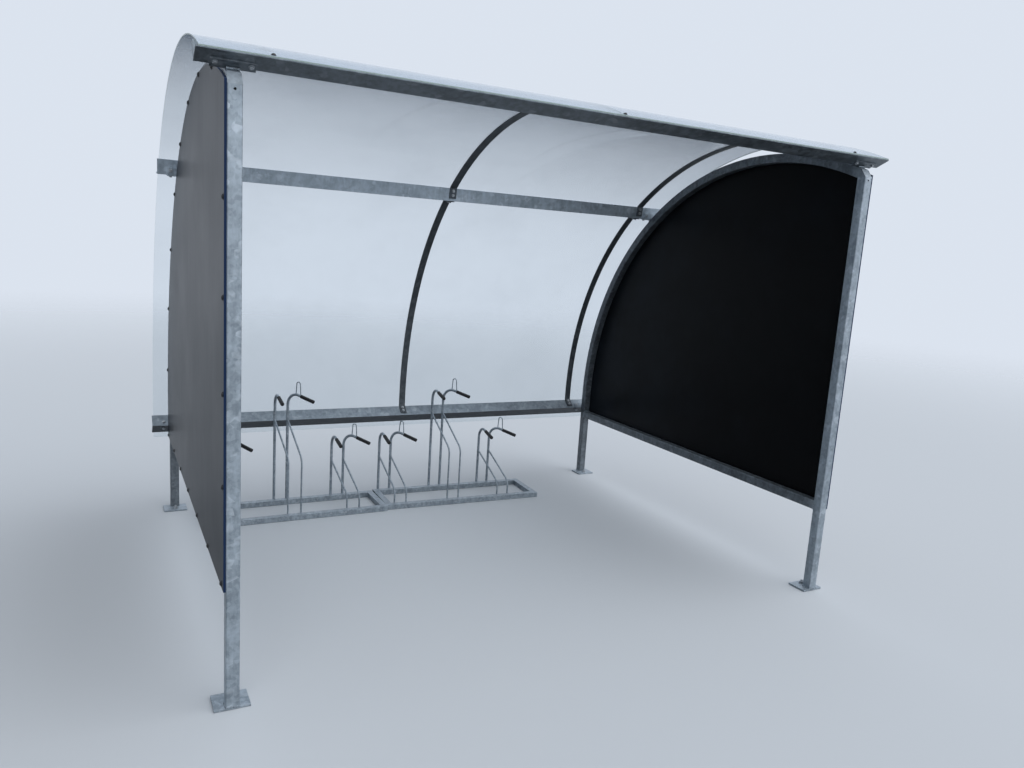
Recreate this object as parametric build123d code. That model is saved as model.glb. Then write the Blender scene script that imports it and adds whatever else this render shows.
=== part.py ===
"""Bicycle shelter: bowed tube frames, angle purlins, ribs and clear sheets, with a two-part rack inside."""
import os
from math import acos, atan2, cos, degrees, hypot, pi, radians, sin, sqrt, tan

from build123d import *

# Frames: square tube, one at each end of the shelter
frame_spacing = 2830.0        # over the outside faces of the two end frames
frame_depth = 2200.0          # front face of the front post to the back of the rear leg
tube_size = 45.0
tube_wall = 3.0
tube_corner = 2.5             # flat across each corner of the tube
bow_radius = 1600.0           # outside of the bow
bow_centre_height = 570.0     # where the straight rear leg turns into the bow
mitre_run = 27.0              # how far back the bevelled corner above the front post reaches
mitre_rise = 38.0             # height of that bevel, above the joint
post_hole = 8.0               # in the front of the post, under the joint
post_hole_drop = 14.0
rail_height = 437.5           # middle of the side rail above the ground

# Base plates
plate_width = 120.0
plate_depth = 100.0
plate_thickness = 8.0
anchor_hole = 13.0

# Side panels
panel_thickness = 8.0
panel_edge_inset = 15.0       # from the outside of the bow and of the leg to the panel's edge
panel_front_inset = 3.0
panel_bottom = 425.0

# Purlins: equal angle, corner towards the inside, held in V brackets on the bows
angle_leg = 70.0
angle_thickness = 6.0
beam_overhang = 88.0          # past the outside of each end frame
front_beam_setback = 55.6     # corner of the front beam behind the front of the posts
middle_purlin_turn = 52.0     # degrees round the bow, from the back
rear_beam_height = 480.0
bracket_leg = 35.0            # inside, from the corner
bracket_thickness = 5.0
bracket_length = 135.0

# Ribs: flat bar under the sheets, bent at both ends onto the purlins
rib_width = 40.0
rib_thickness = 6.0
rib_tab = 62.0
outer_rib_inset = 133.0       # from the outside of the end frame to the middle of the outer rib

# Clear sheets
sheet_thickness = 4.0
sheet_overhang = 80.0
sheet_front_lip = 6.0         # past the front beam
sheet_joint = 3.0
sheet_tail = 25.0             # below the rear beam

# Rack: two modules of three holders, low, high and low
module_length = 1020.0
rail_width = 36.0
rail_depth = 30.0
rail_wall = 4.0
rail_spacing = 284.0          # between the middles of a module's two long rails
rack_setback = 1754.0         # front of the rack behind the front of the shelter
rack_left_end = 147.0         # from the outside of the left frame
right_module_step = 18.0      # the right module's left end stands this much further back
right_module_turn = 2.2       # degrees that it is turned, its right end forwards
first_holder = {"left": 110.0, "right": 74.0}    # from the left end of its module
holder_pitch = 343.0
bar_sides = 8                 # flats round a bent bar
bend_steps = 4                # short runs round a bend
bar_foot = 5.0                # lower end of a bar above the ground, behind its rail
hook_diameter = 16.0
hook_gap = 74.0               # between the middles of a pair
hook_bend = 45.0
hook_reach = 205.0
hook_drop = 38.0
hook_splay = 32.0             # degrees the right hook turns outwards
hook_height = {"low": 421.0, "high": 688.0}
stay_diameter = 10.0
stay_bend = 60.0
stay_lean = 22.0              # how far a stay runs to the right on its way to the front rail
stay_top = {"low": 248.0, "high": 515.0}
stay_kink = {"low": 108.0, "high": 345.0}
eye_diameter = 6.0            # wire eye for a lock, on the right hook
eye_setback = 85.0            # middle of the eye from the upright
eye_width = 38.0
eye_height = 75.0
eye_bend = 18.0
sleeve_thickness = 3.0
sleeve_length = 98.0
sleeve_fit = 0.1              # between a hook and its sleeve

# Worked out from the sizes above
half_span = frame_spacing / 2
bow_middle = bow_radius - tube_size / 2
arc_centre = frame_depth - bow_radius            # behind the front of the front post
corner_radius = bow_radius + bracket_thickness * sqrt(2)
tip_out = (angle_leg + angle_thickness) / sqrt(2)    # from a purlin's corner out to the edge under the sheet
tip_aside = (angle_leg - angle_thickness) / sqrt(2)
sheet_inner = hypot(corner_radius + tip_out, tip_aside)
sheet_outer = sheet_inner + sheet_thickness
front_beam_turn = 180 - degrees(acos((arc_centre - front_beam_setback) / corner_radius))
mitre_height = bow_centre_height + sqrt(bow_radius**2 - (arc_centre - mitre_run)**2) - mitre_rise
front_tip_turn = front_beam_turn + degrees(atan2(tip_aside, corner_radius + tip_out))
sheet_front_turn = front_tip_turn + degrees(sheet_front_lip / sheet_inner)
front_reach = arc_centre + sheet_outer * cos(radians(sheet_front_turn))
rear_reach = arc_centre + sheet_outer
back_shift = -(front_reach + rear_reach) / 2     # puts the middle of the depth on the origin
front_y = back_shift                             # front face of the front posts
centre_y = front_y + arc_centre
beam_length = frame_spacing + 2 * beam_overhang
anchor_inset = (tube_size + plate_depth) / 2     # from a foot's edge to the middle of its free part
hook_fall = atan2(hook_drop, hook_reach)         # slope of a hook's arm
upright_y = rail_spacing + rail_width + hook_diameter / 2    # behind the rear rail, from the module's front
stay_foot_y = rail_width + stay_diameter / 2                 # behind the front rail
sides = {"left": -1, "right": 1}
kinds = {"first": "low", "second": "high", "third": "low"}


def on_arc(radius, turn):
    """Point in the Y-Z plane at a radius and an angle round the bow's centre, from the back."""
    angle = radians(turn)
    return centre_y + radius * cos(angle), bow_centre_height + radius * sin(angle)


def frame_x(side):
    """Middle of an end frame's tube along the length."""
    return side * (half_span - tube_size / 2)


def along_x(face_yz, x_middle, width):
    """Solid from a face drawn in the Y-Z plane, as deep as the width, centred on x_middle."""
    return extrude(Pos(x_middle - width / 2, 0, 0) * face_yz, amount=width, dir=(1, 0, 0))


def square_tube(length):
    """Upright tube standing on the plane Z = 0, centred on the origin."""
    outside = chamfer(Rectangle(tube_size, tube_size).vertices(), tube_corner)
    bore = tube_size - 2 * tube_wall
    return extrude(outside - Rectangle(bore, bore), amount=length)


def front_post(side):
    """Upright tube from its base plate to the bevelled corner of the bow, with a hole near the top."""
    tube = square_tube(mitre_height - plate_thickness)
    post = Pos(frame_x(side), front_y + tube_size / 2, plate_thickness) * tube
    drill = Rot(90, 0, 0) * Cylinder(post_hole / 2, tube_size)
    return post - Pos(frame_x(side), front_y, mitre_height - post_hole_drop) * drill


def turn_at(radius, setback):
    """Angle round the bow's centre at which a circle of this radius is this far behind the posts' front."""
    return 180 - degrees(acos((arc_centre - setback) / radius))


def bow_outline(outer_radius, inner_radius, inset):
    """Outline in the Y-Z plane of the bow from its level start to the front, with the bevelled corner."""
    outer_turn, inner_turn = turn_at(outer_radius, mitre_run), turn_at(inner_radius, tube_size - inset)
    front, back = front_y + inset, front_y + tube_size - inset
    with BuildLine() as outline:
        ThreePointArc(*[(0, *on_arc(outer_radius, turn)) for turn in (0, outer_turn / 2, outer_turn)])
        Polyline((0, *on_arc(outer_radius, outer_turn)), (0, front, mitre_height), (0, back, mitre_height),
                 (0, *on_arc(inner_radius, inner_turn)))
        ThreePointArc(*[(0, *on_arc(inner_radius, turn)) for turn in (inner_turn, inner_turn / 2, 0)])
        Line((0, *on_arc(inner_radius, 0)), (0, *on_arc(outer_radius, 0)))
    return make_face(outline.line)


def bow(side):
    """Bent tube: rear leg from its base plate, curve over the roof and corner above the front post."""
    solid = along_x(bow_outline(bow_radius, bow_radius - tube_size, 0), frame_x(side), tube_size)
    outside = chamfer(solid.edges().filter_by(GeomType.CIRCLE), tube_corner)
    inside_face = bow_outline(bow_radius - tube_wall, bow_radius - tube_size + tube_wall, tube_wall)
    hollow = along_x(inside_face, frame_x(side), tube_size - 2 * tube_wall)
    leg = square_tube(bow_centre_height - plate_thickness)
    leg_y = centre_y + bow_middle
    return (outside - hollow) + Pos(frame_x(side), leg_y, plate_thickness) * leg


def side_rail(side):
    """Level tube between the front post and the rear leg, under the panel."""
    length = frame_depth - 2 * tube_size
    tube = square_tube(length)
    return Pos(frame_x(side), front_y + tube_size, rail_height) * Rot(-90, 0, 0) * tube


def base_plate(side, y_low, hole_y):
    """Flat foot with one anchor hole beside the tube."""
    x, z = frame_x(side), plate_thickness / 2
    plate = Pos(x, y_low + plate_depth / 2, z) * Box(plate_width, plate_depth, plate_thickness)
    return plate - Pos(x, hole_y, z) * Cylinder(anchor_hole / 2, 2 * plate_thickness)


def side_panel(side):
    """Flat board on the outside of an end frame, following the bow."""
    radius = bow_radius - panel_edge_inset
    front, back = front_y + panel_front_inset, centre_y + radius
    end_turn = turn_at(radius, panel_front_inset)
    with BuildLine() as outline:
        ThreePointArc(*[(0, *on_arc(radius, turn)) for turn in (0, end_turn / 2, end_turn)])
        Polyline((0, *on_arc(radius, end_turn)), (0, front, panel_bottom), (0, back, panel_bottom),
                 (0, *on_arc(radius, 0)))
    return along_x(make_face(outline.line), side * (half_span + panel_thickness / 2), panel_thickness)


def angle_face(leg, thickness):
    """L section with its corner at the origin and its legs 45 degrees each side of +Y, in the plane X = 0."""
    outline = Polyline((0, 0, 0), (0, leg, 0), (0, leg, thickness), (0, thickness, thickness),
                       (0, thickness, leg), (0, 0, leg), close=True)
    return Rot(-45, 0, 0) * make_face(outline)


def angle_bar(leg, thickness, corner, turn, x_middle, length):
    """Angle bar along X, its corner at a (y, z) point and pointing at the bow's centre."""
    placed = Pos(0, *corner) * Rot(turn, 0, 0) * angle_face(leg, thickness)
    return along_x(placed, x_middle, length)


def purlin(corner, turn):
    """Angle bar over the whole length."""
    return angle_bar(angle_leg, angle_thickness, corner, turn, 0, beam_length)


def v_bracket(side, corner, turn):
    """Short angle welded on a bow, with the purlin's corner lying in it."""
    back = bracket_thickness * sqrt(2)
    angle = radians(turn)
    outer_corner = (corner[0] - back * cos(angle), corner[1] - back * sin(angle))
    leg = bracket_leg + bracket_thickness
    return angle_bar(leg, bracket_thickness, outer_corner, turn, frame_x(side), bracket_length)


def tab_line(place, way):
    """Ends of a rib's tab on a purlin's leg; way is 1 for the leg further round the bow, -1 for the other."""
    corner, turn = place
    angle = radians(turn) + way * pi / 4
    out_y, out_z = corner[0] - centre_y, corner[1] - bow_centre_height
    along = out_y * cos(angle) + out_z * sin(angle)
    bend = sqrt(along**2 - out_y**2 - out_z**2 + sheet_inner**2) - along
    if out_z + bend * sin(angle) < 0:
        bend = (sheet_inner - out_y) / cos(angle)
    return [(0, corner[0] + s * cos(angle), corner[1] + s * sin(angle)) for s in (bend - rib_tab, bend)]


def turn_of(point):
    """Angle round the bow's centre, from the back, of a point on the bow or on the straight leg below it."""
    return degrees(atan2(max(point[2] - bow_centre_height, 0), point[1] - centre_y))


def rib(x_middle, back, front):
    """Flat bar under the sheet from one purlin to the next, with a bent tab on each."""
    back_end, back_bend = tab_line(back, 1)
    front_end, front_bend = tab_line(front, -1)
    turns = (turn_of(back_bend), (turn_of(back_bend) + turn_of(front_bend)) / 2, turn_of(front_bend))
    curve = [(0, *on_arc(sheet_inner, turn)) for turn in turns]
    with BuildLine() as path:
        Line(back_end, back_bend)
        if back_bend[2] < bow_centre_height:
            Line(back_bend, curve[0])
        ThreePointArc(*curve)
        Line(front_bend, front_end)
    outline = offset(path.wire(), amount=rib_thickness, side=Side.RIGHT, kind=Kind.INTERSECTION)
    return along_x(make_face(outline), x_middle, rib_width)


def sheet(side, start_turn, end_turn, bottom):
    """Bent clear sheet over one half of the length; with a bottom it runs straight down from the curve."""
    turns = (start_turn, (start_turn + end_turn) / 2, end_turn)
    with BuildLine() as outline:
        ThreePointArc(*[(0, *on_arc(sheet_outer, t)) for t in turns])
        Line((0, *on_arc(sheet_outer, end_turn)), (0, *on_arc(sheet_inner, end_turn)))
        ThreePointArc(*[(0, *on_arc(sheet_inner, t)) for t in reversed(turns)])
        if bottom is None:
            Line((0, *on_arc(sheet_inner, start_turn)), (0, *on_arc(sheet_outer, start_turn)))
        else:
            Polyline((0, *on_arc(sheet_inner, 0)), (0, centre_y + sheet_inner, bottom),
                     (0, centre_y + sheet_outer, bottom), (0, *on_arc(sheet_outer, 0)))
    width = half_span + sheet_overhang - sheet_joint / 2
    return along_x(make_face(outline.wire()), side * (sheet_joint + width) / 2, width)


def channel(length):
    """Channel along +X, open below, standing on the plane Z = 0."""
    outside = Pos(length / 2, 0, rail_depth / 2) * Box(length, rail_width, rail_depth)
    inner_width, inner_depth = rail_width - 2 * rail_wall, rail_depth - rail_wall
    return outside - Pos(length / 2, 0, inner_depth / 2) * Box(length, inner_width, inner_depth)


def rack_base():
    """Two rails on the ground, joined by a cross bar at each end; their front left corner is the origin."""
    front = rail_width / 2
    base = Pos(0, front, 0) * channel(module_length)
    base += Pos(0, front + rail_spacing, 0) * channel(module_length)
    for x in (rail_width / 2, module_length - rail_width / 2):
        base += Pos(x, rail_width, 0) * Rot(0, 0, 90) * channel(rail_spacing - rail_width)
    return base


def module_place(name):
    """Where a rack module's front left corner stands, and how it is turned."""
    start = rack_left_end - half_span
    if name == "left":
        return Pos(start, front_y + rack_setback, 0)
    beside = Pos(start + module_length, front_y + rack_setback + right_module_step, 0)
    return beside * Rot(0, 0, -right_module_turn)


def holder_x(module, index):
    """Middle of a holder from the left end of its module."""
    return first_holder[module] + index * holder_pitch


def bar_section(diameter, turn=0):
    """Outline of a bar that has a flat against the rail in front of it once the bar is turned."""
    return RegularPolygon(diameter / 2, bar_sides, major_radius=False, rotation=180 / bar_sides - turn)


def rod(points, bend, diameter, turn=0):
    """Bar from an upright start along straight runs; each bend is drawn as a few short runs."""
    smooth = FilletPolyline(*points, radius=bend)
    corners = [smooth @ 0]
    for edge in smooth.order_edges():
        steps = bend_steps if edge.geom_type == GeomType.CIRCLE else 1
        corners += [edge @ (step / steps) for step in range(1, steps + 1)]
    path = Polyline(*corners)
    section = Plane(origin=path @ 0, z_dir=path % 0) * bar_section(diameter, turn)
    return sweep(section, path=path, transition=Transition.RIGHT)


def hook(kind, turn):
    """Hook with its upright on the Z axis: up from behind the rail, then forwards, and turned outwards."""
    height = hook_height[kind]
    points = [(0, 0, bar_foot), (0, 0, height), (0, -hook_reach, height - hook_drop)]
    return Rot(0, 0, turn) * rod(points, hook_bend, hook_diameter, turn)


def lock_eye(kind, turn):
    """Upright wire loop on a hook's arm."""
    near, far = eye_width / 2 - eye_setback, -eye_width / 2 - eye_setback
    arm = hook_height[kind] + near * tan(hook_fall)
    top = arm + eye_height
    points = [(0, near, arm), (0, near, top), (0, far, top), (0, far, arm)]
    return Rot(0, 0, turn) * rod(points, eye_bend, eye_diameter)


def stay(kind):
    """Thinner bar from behind the front rail up and back to the upright on the Z axis."""
    foot_y = stay_foot_y - upright_y
    points = [(stay_lean, foot_y, bar_foot), (stay_lean, foot_y, stay_kink[kind]), (0, 0, stay_top[kind])]
    return rod(points, stay_bend, stay_diameter)


def sleeve(kind, turn):
    """Soft sleeve closed at its end, on the last stretch of a hook."""
    bore = bar_section(hook_diameter + 2 * sleeve_fit, turn)
    length = sleeve_length + sleeve_fit
    tube = extrude(offset(bore, sleeve_thickness, kind=Kind.INTERSECTION), length + sleeve_thickness)
    tube -= extrude(bore, length)
    start = hypot(hook_reach, hook_drop) - sleeve_length
    slope = Pos(0, 0, hook_height[kind]) * Rot(90 + degrees(hook_fall), 0, 0)
    return Rot(0, 0, turn) * slope * Pos(0, 0, start) * tube


def foot_of(side):
    """Where one upright of a pair stands, in module axes."""
    return Pos(side * hook_gap / 2, upright_y, 0)


def holder(kind):
    """Pair of hooks with their stays; the right hook turns outwards and carries the eye."""
    left = hook(kind, 0) + stay(kind)
    right = hook(kind, hook_splay) + lock_eye(kind, hook_splay) + stay(kind)
    return [foot_of(-1) * left, foot_of(1) * right]


def sleeve_pair(kind):
    """Sleeves of both hooks of a holder."""
    return [foot_of(-1) * sleeve(kind, 0), foot_of(1) * sleeve(kind, hook_splay)]


def build_part():
    """All the pieces by name."""
    parts = {}
    for name, side in sides.items():
        parts[f"front_post_{name}"] = front_post(side)
        parts[f"bow_{name}"] = bow(side)
        parts[f"side_rail_{name}"] = side_rail(side)
        parts[f"side_panel_{name}"] = side_panel(side)
        back = front_y + frame_depth
        parts[f"front_foot_{name}"] = base_plate(side, front_y, front_y + anchor_inset)
        parts[f"rear_foot_{name}"] = base_plate(side, back - plate_depth, back - anchor_inset)
        for row, place in places.items():
            parts[f"{row}_bracket_{name}"] = v_bracket(side, *place)
        parts[f"roof_sheet_{name}"] = sheet(side, middle_purlin_turn + joint_turn, sheet_front_turn, None)
        parts[f"back_sheet_{name}"] = sheet(side, 0, middle_purlin_turn - joint_turn, sheet_bottom)
    parts["front_beam"] = purlin(*front_place)
    parts["middle_purlin"] = purlin(*middle_place)
    parts["rear_beam"] = purlin(*rear_place)
    rib_places = {"left": outer_rib_inset - half_span, "middle": 0, "right": half_span - outer_rib_inset}
    for name, x in rib_places.items():
        parts[f"roof_rib_{name}"] = rib(x, middle_place, front_place)
        parts[f"back_rib_{name}"] = rib(x, rear_place, middle_place)
    for module in sides:
        place = module_place(module)
        parts[f"rack_base_{module}"] = place * rack_base()
        sleeves = []
        for index, (order, kind) in enumerate(kinds.items()):
            spot = place * Pos(holder_x(module, index), 0, 0)
            parts[f"holder_{module}_{order}"] = Compound([spot * bar for bar in holder(kind)])
            sleeves += [spot * tube for tube in sleeve_pair(kind)]
        parts[f"hook_sleeves_{module}"] = Compound(sleeves)
    return parts


front_place = (on_arc(corner_radius, front_beam_turn), front_beam_turn)
middle_place = (on_arc(corner_radius, middle_purlin_turn), middle_purlin_turn)
rear_place = ((centre_y + corner_radius, rear_beam_height), 0.0)
places = {"front": front_place, "middle": middle_place, "rear": rear_place}
joint_turn = degrees(sheet_joint / 2 / sheet_inner)
sheet_bottom = rear_beam_height - tip_out - sheet_tail

if __name__ == "__main__":
    os.makedirs("parts", exist_ok=True)
    for node, shape in build_part().items():
        export_step(shape, f"parts/{node}.step")
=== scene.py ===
"""Dresses a bicycle shelter: zinc-coated steel, dark boards, bent clear sheets and a floor rack."""
import logging
import math
from dataclasses import dataclass, field, replace
from enum import Enum
from typing import Iterable, Sequence

import bmesh
import bpy
import numpy as np
from mathutils import Matrix, Vector


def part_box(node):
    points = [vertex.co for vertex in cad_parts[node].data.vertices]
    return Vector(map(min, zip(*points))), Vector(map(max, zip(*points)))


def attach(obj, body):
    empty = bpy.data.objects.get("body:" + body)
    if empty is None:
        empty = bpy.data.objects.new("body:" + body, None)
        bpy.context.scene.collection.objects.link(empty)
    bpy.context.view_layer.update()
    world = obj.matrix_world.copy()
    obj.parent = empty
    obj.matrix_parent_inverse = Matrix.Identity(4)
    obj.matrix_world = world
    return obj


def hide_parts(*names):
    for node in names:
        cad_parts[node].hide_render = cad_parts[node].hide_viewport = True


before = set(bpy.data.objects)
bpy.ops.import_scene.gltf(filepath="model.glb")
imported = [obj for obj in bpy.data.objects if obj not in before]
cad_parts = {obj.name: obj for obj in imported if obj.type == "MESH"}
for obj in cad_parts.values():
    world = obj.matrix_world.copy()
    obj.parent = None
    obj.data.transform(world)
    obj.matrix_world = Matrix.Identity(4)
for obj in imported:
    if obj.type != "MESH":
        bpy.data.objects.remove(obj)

log = logging.getLogger("bicycle_shelter")
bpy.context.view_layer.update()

SIDES = {"left": -1.0, "right": 1.0}
RIB_ROWS = ("left", "middle", "right")
BODY = "root"
MERGE_DISTANCE = 1e-6
LESS_RED, MORE_BLUE = 0.14, 0.13
# Angles in degrees over which an edge stays sharp.
CREASE, BAR_CREASE, BEAD_CREASE, SHEET_CREASE = 35.0, 50.0, 60.0, 30.0
Colour = tuple[float, float, float, float]
Step = tuple[float, float]


class Signal:
    """A value that runs between shader nodes and can be used in a formula like a number."""

    def __init__(self, graph: "Graph", socket: bpy.types.NodeSocket) -> None:
        """Keeps the graph and the socket that gives the value."""
        self.graph = graph
        self.socket = socket

    def _math(self, operation: str, first: "Signal | float", second: "Signal | float") -> "Signal":
        """Adds a Math node for two values and returns its result."""
        return self.graph.node("Math", {"operation": operation}, {0: first, 1: second})

    def __add__(self, other: "Signal | float") -> "Signal":
        """Sum."""
        return self._math("ADD", self, other)

    __radd__ = __add__

    def __sub__(self, other: "Signal | float") -> "Signal":
        """Difference."""
        return self._math("SUBTRACT", self, other)

    def __rsub__(self, other: "Signal | float") -> "Signal":
        """Difference from a number."""
        return self._math("SUBTRACT", other, self)

    def __mul__(self, other: "Signal | float") -> "Signal":
        """Product."""
        return self._math("MULTIPLY", self, other)

    __rmul__ = __mul__

    def __pow__(self, other: "Signal | float") -> "Signal":
        """Power."""
        return self._math("POWER", self, other)

    def above(self, edge: float, width: float) -> "Signal":
        """Soft step: 0 below the edge and 1 from edge + width upwards."""
        settings = {"interpolation_type": "SMOOTHSTEP"}
        return self.graph.node("MapRange", settings, {0: self, 1: edge, 2: edge + width})


# What a node's input takes: a link, a number, or a colour or vector.
Fill = Signal | float | tuple[float, ...]


class Graph:
    """The shader nodes of one material, or of the world."""

    def __init__(self, owner: bpy.types.Material | bpy.types.World) -> None:
        """Empties the owner's nodes and keeps them.

        Args:
            owner: the material or world that the nodes belong to.
        """
        owner.use_nodes = True
        self.owner = owner
        self.tree = owner.node_tree
        self.tree.nodes.clear()

    @classmethod
    def named(cls, name: str) -> "Graph":
        """Nodes of a new material."""
        return cls(bpy.data.materials.new(name))

    def node(self, kind: str, settings: dict[str, str | int] | None = None,
             inputs: dict[int | str, Fill] | None = None, output: int | str = 0) -> Signal | None:
        """Adds a node, sets its options and then fills or links its inputs.

        Args:
            kind: the node's type, as Blender calls it after the word ShaderNode.
            settings: options by attribute name.
            inputs: numbers, colours, vectors or signals by socket name or number.
            output: the socket that is returned.

        Returns:
            The chosen output, or nothing for a node that has none.
        """
        made = self.tree.nodes.new(f"ShaderNode{kind}")
        for option, value in (settings or {}).items():
            setattr(made, option, value)
        for socket, value in (inputs or {}).items():
            if isinstance(value, Signal):
                self.tree.links.new(value.socket, made.inputs[socket])
            else:
                made.inputs[socket].default_value = value
        return Signal(self, made.outputs[output]) if len(made.outputs) else None

    def place(self, stretch: Sequence[float] = (1.0, 1.0, 1.0)) -> Signal:
        """Object coordinates, stretched along the axes."""
        where = self.node("TexCoord", output="Object")
        return self.node("Mapping", {}, {"Vector": where, "Scale": tuple(stretch)})

    def axis(self, vector: Signal, number: int) -> Signal:
        """One coordinate of a vector: 0 for X, 1 for Y and 2 for Z."""
        return self.node("SeparateXYZ", {}, {0: vector}, number)

    def facing(self, number: int) -> Signal:
        """One coordinate of the surface's normal."""
        return self.axis(self.node("NewGeometry", {}, {}, "Normal"), number)

    def noise(self, where: Signal, scale: float, detail: float = 3.0, rough: float = 0.5) -> Signal:
        """Cloudy pattern from 0 to 1; the scale is in clouds for each metre."""
        inputs = {"Vector": where, "Scale": scale, "Detail": detail, "Roughness": rough}
        return self.node("TexNoise", {}, inputs)

    def cells(self, where: Signal, scale: float) -> Signal:
        """One random value from 0 to 1 for each crystal; the scale is in crystals for each metre."""
        colour = self.node("TexVoronoi", {}, {"Vector": where, "Scale": scale}, "Color")
        return self.node("SeparateColor", {}, {0: colour})

    def blend(self, share: Signal | float, first: Signal | Colour, second: Signal | Colour) -> Signal:
        """Colour between two colours."""
        return self.node("Mix", {"data_type": "RGBA"}, {0: share, 6: first, 7: second}, 2)

    def bump(self, height: Signal, depth: float, normal: Signal | None = None) -> Signal:
        """Surface relief of a height pattern; the depth is in metres.

        Args:
            height: the pattern.
            depth: how far a rise of 1 stands out.
            normal: relief or rounding under it.

        Returns:
            The normal.
        """
        inputs = {"Height": height, "Distance": depth, "Strength": 1.0}
        return self.node("Bump", {}, inputs if normal is None else inputs | {"Normal": normal})

    def shown(self) -> Signal:
        """1 where a camera, a mirror or a clear sheet sees, and 0 where the surface only lights others.

        Returns:
            The signal.
        """
        kinds = ("Is Camera Ray", "Is Glossy Ray", "Is Transmission Ray")
        camera, glossy, through = (self.node("LightPath", {}, {}, kind) for kind in kinds)
        return (camera + glossy + through).above(0.0, 1.0)

    def coat(self, colour: Signal | Colour, roughness: Signal | float,
             others: dict[str, Fill] | None = None) -> Signal:
        """Principled shader of a colour and a roughness, and of other inputs by socket name."""
        inputs = {"Base Color": colour, "Roughness": roughness} | (others or {})
        return self.node("BsdfPrincipled", {}, inputs)

    def finish(self, shader: Signal, kind: str = "Material") -> bpy.types.Material | bpy.types.World:
        """Joins the shader to the output of a material or world, which it returns."""
        self.node(f"Output{kind}", {}, {"Surface": shader})
        return self.owner


def grey(level: float, cool: float = 1.0) -> Colour:
    """Grey of this level, with a little less red and more blue the cooler it is."""
    return (level * (1 - LESS_RED * cool), level, level * (1 + MORE_BLUE * cool), 1.0)


class ZincLook(Enum):
    """Pieces whose zinc has its own greys: painted shade darkens the bow's, painted light pales the
    purlin's.
    """

    POST = "post"
    BOW = "bow"
    RIB = "rib"
    BEAM = "beam"
    PURLIN = "purlin"
    REAR_BEAM = "rear_beam"
    RACK = "rack"


@dataclass(frozen=True)
class Galvanised:
    """Hot-dip zinc: crystals, cloudy patches, pale flakes and long runs on a grey ground.

    The low and high greys bound the ground's colour. Crystal, patch, flake and edge are sizes in metres,
    and scales count to the metre. A step is the edge and width of a soft step. The weights are those of
    crystals, patches and runs. What faces down is darkened by a share of painted shade. In front of the
    depth pale_before the piece is as pale as a post; the bow's darker greys behind it are painted shade.
    What ends in cool is how cool a grey is.
    """

    look: ZincLook
    low: float
    high: float
    crystal: float = 0.012
    patch: float = 0.05
    flake: float = 0.028
    flake_step: Step = (0.72, 0.2)
    group_scale: float = 30.0
    group_step: Step = (0.4, 0.25)
    flake_share: float = 0.45
    flake_gain: float = 1.45
    brightest: float = 0.8
    run_scale: float = 55.0
    run_stretch: float = 0.16
    weights: tuple[float, float, float] = (0.3, 1.1, 0.7)
    balance: float = 0.55
    grain_scale: float = 260.0
    crystal_relief: float = 0.35
    relief: float = 0.00025
    roughness: float = 0.42
    crystal_rough: float = 0.16
    shade_rough: float = 0.1
    mean_uneven: float = 0.12
    metal: float = 0.45
    edge: float = 0.0022
    low_cool: float = 1.2
    flake_cool: float = 0.7
    underside_shade: float = 0.3
    underside_shade_level: float = 0.3
    underside_shade_cool: float = 0.5
    under_step: Step = (0.2, 0.5)
    pale_before: float | None = None
    pale_fade: float = 0.06
    pale_low: float = 0.28
    pale_high: float = 0.5

    def shade(self, g: Graph, where: Signal, crystals: Signal) -> Signal:
        """Share of the lighter grey, from 0 to 1, as a weighed sum of crystals, patches and runs.

        Args:
            g: the material's nodes.
            where: the pattern's coordinates.
            crystals: a value for each crystal.

        Returns:
            The share.
        """
        patches = g.noise(where, 1 / self.patch, detail=4.0, rough=0.62)
        runs = g.noise(g.place((1.0, 1.0, self.run_stretch)), self.run_scale, detail=3.0, rough=0.6)
        by_crystals, by_patches, by_runs = self.weights
        total = crystals * by_crystals + patches * by_patches + runs * by_runs
        return (total - self.balance).above(0.0, 1.0)

    def colour(self, g: Graph, where: Signal, shade: Signal) -> Signal:
        """Ground grey under the flakes, the pale front and painted shade on undersides.

        Flakes are single crystals of a coarser net that caught more light, in loose groups. What faces
        down is darkened with painted shade.

        Args:
            g: the material's nodes.
            where: the pattern's coordinates.
            shade: share of the lighter grey.

        Returns:
            The colour.
        """
        groups = g.noise(where, self.group_scale).above(*self.group_step)
        flakes = g.cells(where, 1 / self.flake).above(*self.flake_step) * groups
        bright = grey(min(self.high * self.flake_gain, self.brightest), self.flake_cool)
        colour = g.blend(shade, grey(self.low, self.low_cool), grey(self.high))
        colour = g.blend(flakes * self.flake_share, colour, bright)
        # Behind pale_before the piece keeps its own greys, which on the bow are painted shade.
        if self.pale_before is not None:
            near = 1.0 - g.axis(where, 1).above(self.pale_before, self.pale_fade)
            colour = g.blend(near, colour, g.blend(shade, grey(self.pale_low), grey(self.pale_high)))
        # Painted shade: what faces down is blended towards a darker grey.
        under = (0.0 - g.facing(2)).above(*self.under_step)
        return g.blend(under * self.underside_shade, colour, grey(self.low * self.underside_shade_level, self.underside_shade_cool))

    def build(self) -> bpy.types.Material:
        """Makes the material, whose edges look rounded under the relief.

        Returns:
            The material.
        """
        g = Graph.named(f"zinc_{self.look.value}")
        where = g.place()
        crystals = g.cells(where, 1 / self.crystal)
        shade = self.shade(g, where, crystals)
        rounded = g.node("Bevel", {"samples": 4}, {"Radius": self.edge})
        grain = g.noise(where, self.grain_scale, detail=2.0)
        relief = g.bump(crystals * self.crystal_relief + grain, self.relief, rounded)
        uneven = crystals * self.crystal_rough + shade * self.shade_rough
        roughness = uneven + (self.roughness - self.mean_uneven)
        others = {"Metallic": self.metal, "Normal": relief}
        return g.finish(g.coat(self.colour(g, where, shade), roughness, others))


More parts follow.
